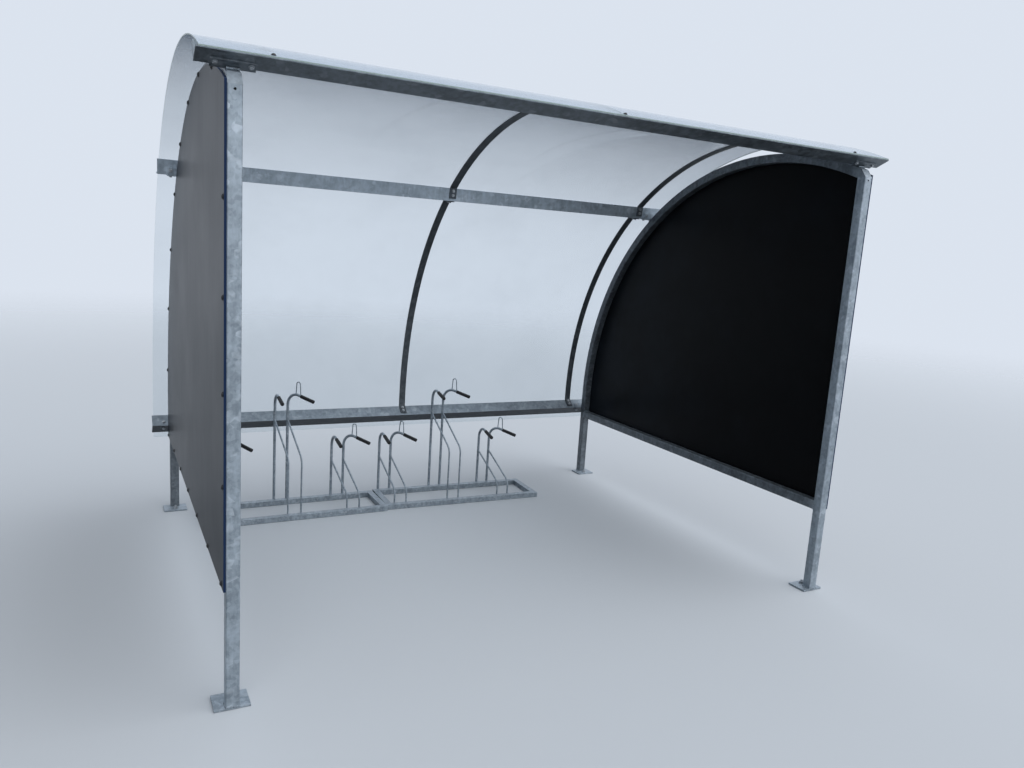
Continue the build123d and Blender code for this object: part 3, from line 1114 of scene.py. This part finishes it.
@dataclass
class RoofFrame(Assembly):
    """Angle bars, their brackets and the ribs, with all their bolts."""

    front: AngleBar = field(init=False)
    middle: AngleBar = field(init=False)
    rear: AngleBar = field(init=False)
    bolt_aside: float = 0.052
    bolt_along: float = 0.021
    tab_length: float = 0.062
    tab_bolts: tuple[float, float] = (0.018, 0.042)
    rib_thickness: float = 0.006
    bead: float = 0.0046
    ripple: float = 0.0007
    ripple_scale: float = 1400.0
    bead_offset: float = 0.011
    bead_inset: float = 0.003
    bead_steps: int = 40
    crevice_turn: float = 67.5

    def __post_init__(self) -> None:
        """Works out where the three angle bars lie."""
        self.front = AngleBar("front_beam", self.bow.front_turn, self.bow)
        self.middle = AngleBar("middle_purlin", self.bow.middle_turn, self.bow)
        self.rear = AngleBar("rear_beam", 0.0, self.bow)

    def crossings(self) -> Iterable[tuple[float, AngleBar, int]]:
        """X of a bow, the bar that crosses it and one of the bar's legs, for all of them in turn.

        Returns:
            One set of the three for each leg on each bow.
        """
        for name in SIDES:
            for bar in (self.front, self.middle, self.rear):
                for way in (1, -1):
                    yield box_middle(f"side_rail_{name}")[0], bar, way

    def bracket_bolts(self) -> tuple[np.ndarray, np.ndarray]:
        """Places and directions of the bracket bolts' heads, two through each leg.

        Returns:
            One place and one direction for each bolt.
        """
        places, axes = [], []
        for x, bar, way in self.crossings():
            seat = bar.corner + bar.along(way) * self.bolt_along + bar.outward(way) * self.bow.bracket
            places += [seat + [x + step, 0.0, 0.0] for step in (-self.bolt_aside, self.bolt_aside)]
            axes += [bar.outward(way)] * 2
        return np.array(places), np.array(axes)

    def rib_bolts(self) -> tuple[np.ndarray, np.ndarray]:
        """Places and directions of the heads on the ribs' tabs.

        Returns:
            One place and one direction for each bolt.
        """
        places, axes = [], []
        ends = {"roof_rib": ((self.middle, 1), (self.front, -1)),
                "back_rib": ((self.rear, 1), (self.middle, -1))}
        for rib, tabs in ends.items():
            for name in RIB_ROWS:
                for bar, way in tabs:
                    for step in self.tab_bolts:
                        along = bar.along(way) * (bar.reach(way) - self.tab_length + step)
                        seat = bar.corner + along + bar.outward(way) * self.rib_thickness
                        places.append(seat + [box_middle(f"{rib}_{name}")[0], 0.0, 0.0])
                        axes.append(bar.outward(way))
        return np.array(places), np.array(axes)

    def bracket_welds(self) -> Shape:
        """Beads across each bow in the two crevices beside a bracket's corner.

        A crevice opens at 45 degrees, and the bead lies on its middle line, crevice_turn from the bow's
        radius. The bead's own radius is bead + ripple sin(ripple_scale s) at the distance s across.

        Returns:
            All the beads.
        """
        half = self.bow.tube / 2 - self.bead_inset
        steps = np.linspace(-half, half, self.bead_steps)
        radii = self.bead + self.ripple * np.sin(steps * self.ripple_scale)
        beads = []
        for x, bar, way in self.crossings():
            crevice = bar.corner - heading(bar.turn) * self.bow.bracket * math.sqrt(2)
            seat = crevice + self.bead_offset * heading(bar.turn + way * self.crevice_turn)
            path = seat + points_at(steps + x, 0.0, 0.0)
            beads.append(tube(path, (0, 0, 1), radii, sides=8))
        return Shape.joined(beads)

    def build(self) -> None:
        """Dresses the bars and ribs and adds heads outside and nuts inside."""
        finishes = self.finishes
        rows = {"front": (self.front, finishes.beam), "middle": (self.middle, finishes.purlin),
                "rear": (self.rear, finishes.rear)}
        for row, (bar, finish) in rows.items():
            dress([bar.node] + [f"{row}_bracket_{name}" for name in SIDES], finish)
        dress([f"{rib}_{name}" for rib in ("roof_rib", "back_rib") for name in RIB_ROWS], finishes.rib)
        bolts = {"bracket_bolts": (self.bracket_bolts(), self.bow.bracket),
                 "rib_bolts": (self.rib_bolts(), self.rib_thickness)}
        for name, ((places, axes), seat) in bolts.items():
            heads = scattered(self.hardware.hexagon(self.hardware.head_height), places, axes)
            nuts = scattered(self.hardware.nut(), places - axes * (seat + self.bow.thickness), -axes)
            make_piece(name, Shape.joined([heads, nuts]), finishes.bright)
        make_piece("bracket_welds", self.bracket_welds(), finishes.weld, sharp=BEAD_CREASE)


@dataclass
class ClearRoof(Assembly):
    """Four bent clear sheets, one over the roof and one down the back at each end, and their screws."""

    thickness: float = 0.004
    bend_steps: int = 72
    drop_steps: int = 12
    length_steps: int = 9
    head: float = 0.0065
    head_height: float = 0.0042
    middle_aside: float = 0.011
    roof_screws: int = 5
    back_screws: int = 4
    lowest_turn: float = 9.0
    purlin_gap: float = 5.0
    past_beam: float = 1.2

    @property
    def screw_turns(self) -> dict[str, np.ndarray]:
        """Turns of the screws over the roof ribs and the back ribs, in degrees.

        Returns:
            The turns by rib.
        """
        purlin, beam = self.bow.middle_turn, self.bow.front_turn
        return {"roof_rib": np.linspace(purlin + self.purlin_gap, beam + self.past_beam, self.roof_screws),
                "back_rib": np.linspace(self.lowest_turn, purlin - self.purlin_gap, self.back_screws)}

    def outline(self, node: str) -> np.ndarray:
        """Inside and outside of a sheet, from its lower or rear end to the other one.

        The bend is centre + radius (cos turn, sin turn); a back sheet starts with a straight drop.

        Args:
            node: the CAD sheet, whose box gives both ends.

        Returns:
            Inner and outer points, two rows of Y and Z for each step.
        """
        (y, z), low, high = self.bow.centre, *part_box(node)
        inner, outer = self.bow.sheet_radius, self.bow.sheet_radius + self.thickness
        is_roof = node.startswith("roof")
        if is_roof:
            start = math.degrees(math.acos((high.y - y) / outer))
            end = 180 - math.degrees(math.acos((y - low.y) / outer))
        else:
            start, end = 0.0, math.degrees(math.asin((high.z - z) / outer))
        out = self.bow.points(1.0, np.linspace(start, end, self.bend_steps))[:, 1:] - [y, z]
        line = np.array([y, z]) + out * inner
        if not is_roof:
            drop = np.linspace(low.z, z, self.drop_steps, endpoint=False)
            line = np.concatenate([np.stack([0 * drop + y + inner, drop], -1), line])
            out = np.concatenate([np.tile([1.0, 0.0], (len(drop), 1)), out])
        return np.stack([line, line + out * self.thickness], 1)

    def sheet(self, node: str) -> tuple[Shape, np.ndarray]:
        """One sheet between its two ends along X, and which of its faces are sawn edges.

        The outline, out along the inside and back along the outside, is carried along X and capped.

        Args:
            node: the CAD sheet.

        Returns:
            The shape, and 1 for each face that is an edge.
        """
        low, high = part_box(node)
        pairs = self.outline(node)
        count = len(pairs)
        ring = np.concatenate([pairs[:, 0], pairs[::-1, 1]])
        xs = np.linspace(low.x, high.x, self.length_steps)
        points = np.concatenate([np.repeat(xs, len(ring))[:, None], np.tile(ring, (len(xs), 1))], 1)
        sides = net(len(xs), len(ring), False, True)
        k = np.arange(count - 1)
        cap = np.stack([k, k + 1, len(ring) - 2 - k, len(ring) - 1 - k], -1)
        faces = np.concatenate([sides, cap, cap + (len(xs) - 1) * len(ring)])
        column = np.arange(len(sides)) % len(ring)
        is_edge = np.ones(len(faces))
        is_edge[:len(sides)] = (column == count - 1) | (column == len(ring) - 1)
        return Shape(points, faces), is_edge

    def screws(self) -> Shape:
        """Round heads on the outside of the sheets, over every rib; on the middle ones beside the joint.

        Returns:
            All the heads.
        """
        places = []
        for rib, turns in self.screw_turns.items():
            line = self.bow.points(self.bow.sheet_radius + self.thickness, turns)
            for name in RIB_ROWS:
                aside = self.middle_aside if name == "middle" else 0.0
                places.append(line + [box_middle(f"{rib}_{name}")[0] + aside, 0.0, 0.0])
        spots = np.concatenate(places)
        axes = (spots - [0.0, *self.bow.centre]) * [0.0, 1.0, 1.0]
        return scattered(self.hardware.round_head(self.head, self.head_height), spots, axes)

    def build(self) -> None:
        """Makes the four sheets in place of the CAD ones."""
        for row in ("roof", "back"):
            for name in SIDES:
                node = f"{row}_sheet_{name}"
                shape, is_edge = self.sheet(node)
                piece = make_piece(f"clear_{node}", shape, self.finishes.sheet,
                                   SHEET_CREASE, self.finishes.sheet_edge, is_edge)
                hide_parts(node)
        make_piece("sheet_screws", self.screws(), self.finishes.black)


def by_kind(low: float, high: float) -> dict[str, float]:
    """Field with one size for the low wheel holders and one for the high ones."""
    return field(default_factory=lambda: {"low": low, "high": high})


@dataclass
class Rack:
    """Floor rack of two modules: rails, and three pairs of hooks with stays, eyes and soft sleeves."""

    finishes: Finishes
    length: float = 1.02
    rail: float = 0.036
    spacing: float = 0.284
    right_turn: float = math.radians(2.2)
    first: dict[str, float] = field(default_factory=lambda: {"left": 0.110, "right": 0.074})
    pitch: float = 0.343
    foot: float = 0.005
    hook: float = 0.016
    gap: float = 0.074
    bend: float = 0.07
    arm: float = 0.205
    drop: float = 0.038
    splay: float = math.radians(32)
    height: dict[str, float] = by_kind(0.421, 0.688)
    stay: float = 0.01
    stay_bend: float = 0.06
    stay_lean: float = 0.022
    stay_top: dict[str, float] = by_kind(0.248, 0.515)
    stay_kink: dict[str, float] = by_kind(0.108, 0.345)
    eye: float = 0.006
    eye_setback: float = 0.085
    eye_width: float = 0.038
    eye_height: float = 0.075
    eye_taper: float = 0.006
    sleeve_wall: float = 0.003
    sleeve_length: float = 0.098
    sleeve_play: float = 0.0001
    sleeve_mouth: float = 0.12
    sleeve_steps: int = 40
    dome_steps: int = 7
    ring_depth: float = 0.0006
    ring_count: int = 9
    blind_end: float = 0.002
    weld_profile: tuple[tuple[float, float], ...] = (
        (0, 0), (0.0045, 0.0006), (0.0038, 0.0022), (0, 0.0032))
    hook_weld_aside: float = 0.006
    hook_weld_heights: tuple[float, ...] = (0.012, 0.018, 0.024)
    stay_weld_heights: tuple[float, ...] = (0.014, 0.022)
    kinds: tuple[tuple[str, str], ...] = (("first", "low"), ("second", "high"), ("third", "low"))

    @property
    def upright_y(self) -> float:
        """Uprights stand behind the rear rail, measured from the module's front."""
        return self.spacing + self.rail + self.hook / 2

    def placed(self, shape: Shape, module: str) -> Shape:
        """A shape in module axes brought to where the module stands.

        Args:
            shape: a shape in module axes.
            module: left or right.

        Returns:
            The moved shape.
        """
        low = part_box(f"rack_base_{module}")[0]
        turn = self.right_turn if module == "right" else 0.0
        return shape.turned(-turn).moved((low.x, low.y + self.length * math.sin(turn), 0.0))

    def on_upright(self, shape: Shape, side: int) -> Shape:
        """A shape in a hook's own axes brought to the pair's left (-1) or right (1) upright."""
        return shape.moved((side * self.gap / 2, self.upright_y, 0))

    def hook_line(self, kind: str) -> np.ndarray:
        """Middle line of a hook: up, then forwards and slightly down.

        Args:
            kind: low or high.

        Returns:
            The line in the hook's own axes.
        """
        high = self.height[kind]
        corners = [(0, 0, self.foot), (0, 0, high), (0, -self.arm, high - self.drop)]
        return bent_line(corners, self.bend, steps=14)

    def stay_bar(self, kind: str) -> Shape:
        """Stay from behind the front rail up and back to its upright.

        Args:
            kind: low or high.

        Returns:
            The stay in the hook's own axes.
        """
        y = self.rail + self.stay / 2 - self.upright_y
        corners = [(self.stay_lean, y, self.foot), (self.stay_lean, y, self.stay_kink[kind]),
                   (0, 0, self.stay_top[kind])]
        return tube(bent_line(corners, self.stay_bend), (-y, self.stay_lean, 0), self.stay / 2, sides=12)

    def eye_bar(self, kind: str) -> Shape:
        """Wire eye that stands on the arm and narrows a little towards its round top.

        Args:
            kind: low or high.

        Returns:
            The eye in the hook's own axes.
        """
        near, far = self.eye_width / 2 - self.eye_setback, -self.eye_width / 2 - self.eye_setback
        arm = self.height[kind] + near * self.drop / self.arm
        top = arm + self.eye_height
        shoulders = [(0, near - self.eye_taper, top), (0, far + self.eye_taper, top)]
        line = bent_line([(0, near, arm), *shoulders, (0, far, arm)], self.eye_width / 2 - self.eye_taper)
        return tube(line, (1, 0, 0), self.eye / 2, sides=10)

    def holder(self, kind: str) -> Shape:
        """Pair of hooks with their stays and the eye, in holder axes; the right hook turns outwards.

        Args:
            kind: low or high.

        Returns:
            The pair.
        """
        hook, stay = tube(self.hook_line(kind), (1, 0, 0), self.hook / 2, sides=16), self.stay_bar(kind)
        turned = Shape.joined([hook, self.eye_bar(kind)]).turned(self.splay)
        left, right = Shape.joined([hook, stay]), Shape.joined([turned, stay])
        return Shape.joined([self.on_upright(left, -1), self.on_upright(right, 1)])

    def sleeve(self, kind: str) -> Shape:
        """Soft sleeve on the end of an arm: a ribbed outside that closes in a dome.

        Its radius is that of hook and wall + ring depth (cos of the rings' turns - 1). The rings stop
        short of the mouth.

        Args:
            kind: low or high.

        Returns:
            The sleeve in the hook's own axes.
        """
        outer, inner = self.hook / 2 + self.sleeve_wall, self.hook / 2 + self.sleeve_play
        end = math.hypot(self.arm, self.drop)
        share = np.linspace(0, 1, self.sleeve_steps)
        waves = np.cos(share * 2 * np.pi * self.ring_count) * (share > self.sleeve_mouth)
        rings = outer - self.ring_depth + self.ring_depth * waves
        body = np.stack([rings, end - self.sleeve_length * (1 - share)], -1)
        a = np.linspace(0, np.pi / 2, self.dome_steps)[1:]
        dome = np.stack([rings[-1] * np.cos(a), end + self.sleeve_wall * np.sin(a)], -1)
        blind, open_end = end - self.blind_end, end - self.sleeve_length
        mouth = [(0, blind), (inner, blind), (inner, open_end), (outer, open_end)]
        upright = revolve(np.concatenate([mouth, body, dome]), sides=20)
        tilt = math.pi / 2 + math.atan2(self.drop, self.arm)
        c, s = math.cos(tilt), math.sin(tilt)
        slope = np.array([[1, 0, 0], [0, c, s], [0, -s, c]])
        return Shape(upright.points @ slope + [0, 0, self.height[kind]], upright.faces)

    def welds(self) -> Shape:
        """Beads where a pair's uprights and stays meet the rails' back faces.

        Returns:
            The beads in holder axes.
        """
        places = []
        for x in (-self.gap / 2, self.gap / 2):
            for aside in (-self.hook_weld_aside, self.hook_weld_aside):
                places += [(x + aside, self.spacing + self.rail, z) for z in self.hook_weld_heights]
            places += [(x + self.stay_lean, self.rail, z) for z in self.stay_weld_heights]
        axes = np.tile([0.0, 1.0, 0.0], (len(places), 1))
        return scattered(revolve(self.weld_profile, sides=10), np.array(places), axes)

    def build(self) -> None:
        """Dresses the rails and makes round bars, sleeves and welds for each module."""
        dress([f"rack_base_{module}" for module in SIDES], self.finishes.rack)
        for module in SIDES:
            sleeves, welds, zinc = [], [], self.finishes.rack
            for index, (order, kind) in enumerate(self.kinds):
                offset = (self.first[module] + index * self.pitch, 0.0, 0.0)
                bars = self.placed(self.holder(kind).moved(offset), module)
                piece = make_piece(f"bars_{module}_{order}", bars, zinc, sharp=BAR_CREASE)
                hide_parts(f"holder_{module}_{order}")
                for side, turn in ((-1, 0.0), (1, self.splay)):
                    one = self.on_upright(self.sleeve(kind).turned(turn), side)
                    sleeves.append(self.placed(one.moved(offset), module))
                welds.append(self.placed(self.welds().moved(offset), module))
            name, grips, beads = f"sleeves_{module}", Shape.joined(sleeves), Shape.joined(welds)
            piece = make_piece(name, grips, self.finishes.rubber, sharp=BAR_CREASE)
            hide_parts(f"hook_sleeves_{module}")
            make_piece(f"rack_welds_{module}", beads, self.finishes.weld, sharp=BEAD_CREASE)


@dataclass
class Studio:
    """Pale floor, soft light and the camera of the photograph, whose eye is set out from the posts' front.

    The floor reflects the grey called bounce and shows the one called floor; fade_step is where it fades
    out. Bright and low are the sky's light above and at the horizon, and dim that on the left.
    """

    front_y: float
    eye: tuple[float, float, float] = (-1.7729, -2.5553, 1.6)
    yaw: float = math.radians(28.245)
    pitch: float = math.radians(9.781)
    roll: float = math.radians(3.725)
    focal_pixels: float = 786.08
    frame_pixels: float = 1024.0
    sensor: float = 36.0
    view_limit: float = 200.0
    floor: float = 0.6
    floor_cool: float = 0.4
    bounce: float = 0.12
    bounce_cool: float = 0.3
    floor_rough: float = 0.9
    floor_half: float = 60.0
    floor_drop: float = 0.001
    fade_step: Step = (4.0, 14.0)
    bright: Colour = (0.95, 1.0, 1.1, 1.0)
    low: Colour = (0.38, 0.4, 0.44, 1.0)
    dim: Colour = (0.1, 0.12, 0.14, 1.0)
    bright_step: Step = (-0.1, 1.0)
    dim_step: Step = (-0.9, 1.5)
    backdrop: Colour = (0.71, 0.77, 0.86, 1.0)
    sun: float = 1.7
    sun_width: float = math.radians(90)
    sun_way: tuple[float, float, float] = (-0.3, 0.62, -0.72)

    def camera(self) -> None:
        """Camera at a person's eye height, from its yaw, pitch and roll."""
        data = bpy.data.cameras.new("viewpoint")
        data.sensor_width = self.sensor
        data.lens = self.focal_pixels / self.frame_pixels * self.sensor
        data.clip_end = self.view_limit
        camera = bpy.data.objects.new("viewpoint", data)
        cy, sy, cp, sp = math.cos(self.yaw), math.sin(self.yaw), math.cos(self.pitch), math.sin(self.pitch)
        ahead = np.array([sy * cp, cy * cp, -sp])
        right = np.array([cy, -sy, 0.0])
        up = np.cross(right, ahead)
        c, s = math.cos(self.roll), math.sin(self.roll)
        axes = np.stack([c * right + s * up, -s * right + c * up, -ahead], 1)
        matrix = Matrix(axes.tolist()).to_4x4()
        matrix.translation = (self.eye[0], self.eye[1] + self.front_y, self.eye[2])
        camera.matrix_world = matrix
        bpy.context.scene.collection.objects.link(camera)
        bpy.context.scene.camera = camera

    def ground(self) -> None:
        """Pale floor that throws less light up than it shows, as paving does, and fades into the sky."""
        g = Graph.named("pale_floor")
        shown = g.shown()
        thrown, seen = grey(self.bounce, self.bounce_cool), grey(self.floor, self.floor_cool)
        paint = g.coat(g.blend(shown, thrown, seen), self.floor_rough)
        away = g.node("VectorMath", {"operation": "LENGTH"}, {0: g.place()}, "Value")
        fade = away.above(*self.fade_step) * shown
        clear = g.node("BsdfTransparent")
        size = self.floor_half
        mesh = bpy.data.meshes.new("floor")
        corners = [(-size, -size, 0), (size, -size, 0), (size, size, 0), (-size, size, 0)]
        mesh.from_pydata(corners, [], [(0, 1, 2, 3)])
        mesh.materials.append(g.finish(g.node("MixShader", {}, {0: fade, 1: paint, 2: clear})))
        floor = bpy.data.objects.new("floor", mesh)
        floor.location.z = -self.floor_drop
        bpy.context.scene.collection.objects.link(floor)

    def sky(self) -> None:
        """Overcast sky: brighter above than at the horizon; the camera and mirrors see it pale."""
        g = Graph(bpy.data.worlds.new("overcast"))
        where = g.node("TexCoord", {}, {}, "Generated")
        light = g.blend(g.axis(where, 2).above(*self.bright_step), self.low, self.bright)
        light = g.blend(g.axis(where, 0).above(*self.dim_step), self.dim, light)
        colour = g.blend(g.shown(), light, self.backdrop)
        shader = g.node("Background", {}, {"Color": colour, "Strength": 1.0})
        bpy.context.scene.world = g.finish(shader, "World")

    def lamp(self) -> None:
        """Soft light from high in front, a little from the right."""
        data = bpy.data.lights.new("soft_sun", "SUN")
        data.energy = self.sun
        data.angle = self.sun_width
        lamp = bpy.data.objects.new("soft_sun", data)
        lamp.matrix_world = Vector(self.sun_way).to_track_quat("-Z", "Y").to_matrix().to_4x4()
        bpy.context.scene.collection.objects.link(lamp)

    def build(self) -> None:
        """Sets the whole stage."""
        self.camera()
        self.ground()
        self.sky()
        self.lamp()
        bpy.context.scene.view_settings.view_transform = "Standard"


def main() -> None:
    """Builds the stage and the shelter's parts in order."""
    logging.basicConfig(level=logging.INFO, format="%(name)s %(message)s")
    bow, hardware = Bow(), Hardware()
    finishes = Finishes(bow.front_y)
    Studio(front_y=bow.front_y).build()
    for assembly in (EndFrames, SidePanels, RoofFrame, ClearRoof):
        assembly(bow, finishes, hardware).build()
    Rack(finishes).build()


if __name__ == "__main__":
    main()
